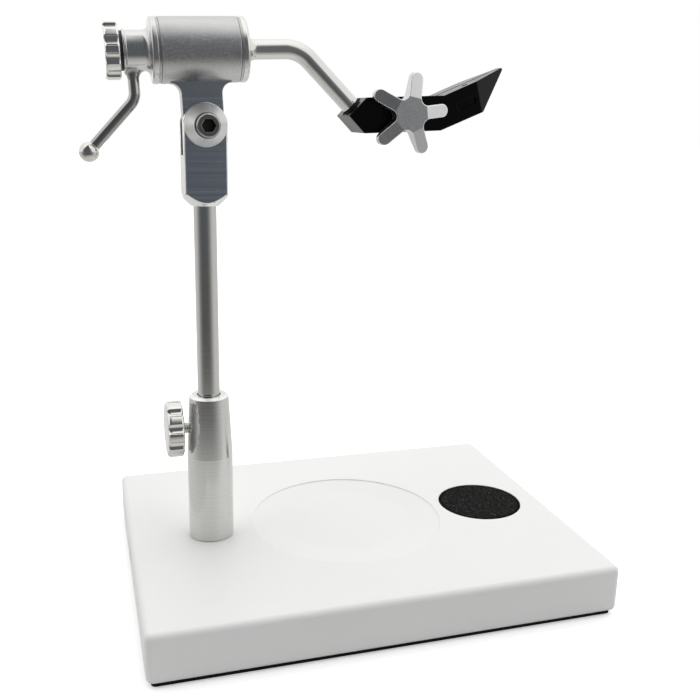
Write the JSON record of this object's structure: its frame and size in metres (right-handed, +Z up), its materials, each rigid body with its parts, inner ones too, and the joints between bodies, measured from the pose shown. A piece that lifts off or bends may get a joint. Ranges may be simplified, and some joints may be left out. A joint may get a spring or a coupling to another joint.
{
  "type": "fly tying vise",
  "caption": "Pedestal fly tying vise with a white weighted base, hook tray, sliding stem, tilting rotary head, crank handle and black hook jaws closed by a star knob.",
  "frame": {"origin": "on the table, under the middle of the base plate", "axes": "+Z up, +X towards the jaws, +Y away from the star knob"},
  "size_m": [0.2152, 0.156, 0.2472],
  "materials": {
    "powder_coat": "fine satin powder coat",
    "rubber_sheet": "matt",
    "foam": "open-cell foam",
    "turned_aluminium": "fine turned",
    "bright_steel": "polished",
    "chromed": "bright",
    "black_oxide": "black oxide",
    "black_nylon": "matt",
    "bronze": "plain",
    "cast_aluminium": "satin"
  },
  "bodies": {
    "base": {"base_plate": "powder_coat", "base_pad": "rubber_sheet", "foam_disc": "foam", "post_sleeve": "turned_aluminium", "post_bolt": "black_oxide"},
    "lock": {"lock_knob": "chromed", "lock_screw": "bright_steel"},
    "stem_guide": {"stem_bush": "black_nylon"},
    "stem": {"stem_rod": "bright_steel", "stem_head": "turned_aluminium", "pivot_washer": "turned_aluminium", "pivot_bolt": "black_oxide"},
    "head": {"head_housing": "turned_aluminium", "front_bush": "bronze", "rear_bush": "bronze"},
    "rotor": {"arm_shaft": "bright_steel", "front_thrust_washer": "turned_aluminium", "rear_thrust_washer": "turned_aluminium", "rear_hub": "turned_aluminium", "hub_grub_screw": "black_oxide", "handle_rod": "bright_steel", "handle_ball": "bright_steel", "drag_washer": "black_nylon", "front_jaw": "black_oxide", "heel_grub_screw": "black_oxide", "guide_dowels": "bright_steel"},
    "drag": {"drag_knob": "chromed", "drag_stud": "bright_steel"},
    "star": {"star_washer": "bright_steel", "star_knob": "cast_aluminium", "draw_screw": "bright_steel", "screw_collar": "bright_steel"},
    "moving_jaw": {"rear_jaw": "black_oxide"}
  },
  "joints": [
    {"name": "lock_turn", "type": "hinge", "parent": "base", "child": "lock", "pos_m": [-0.08, 0, 0.0748], "axis": [-1, 0, 0], "range_deg": [0, 720]},
    {"name": "stem_swivel", "type": "hinge", "parent": "base", "child": "stem_guide", "pos_m": [-0.0648, 0, 0.09], "axis": [0, 0, 1], "continuous": true},
    {"name": "stem_lift", "type": "slide", "parent": "stem_guide", "child": "stem", "axis": [0, 0, 1], "range_m": [-0.015, 0.018]},
    {"name": "head_tilt", "type": "hinge", "parent": "stem", "child": "head", "pos_m": [-0.0648, 0, 0.2048], "axis": [0, -1, 0], "range_deg": [-45, 45]},
    {"name": "rotary_spin", "type": "hinge", "parent": "head", "child": "rotor", "pos_m": [-0.06621, 0, 0.23367], "axis": [0.9988, 0, 0.0488], "continuous": true},
    {"name": "drag_turn", "type": "hinge", "parent": "rotor", "child": "drag", "pos_m": [-0.09817, 0, 0.2321], "axis": [-0.9988, 0, -0.0488], "range_deg": [-90, 360]},
    {"name": "star_turn", "type": "hinge", "parent": "rotor", "child": "star", "pos_m": [0.01949, 0, 0.21073], "axis": [0, -1, 0], "range_deg": [0, 720]},
    {"name": "jaw_open", "type": "slide", "parent": "rotor", "child": "moving_jaw", "axis": [0, 1, 0], "range_m": [0, 0.002]}
  ],
  "couplings": [
    {"joint": "star_turn", "follows": "jaw_open", "rad_per_m": 6283.2}
  ]
}
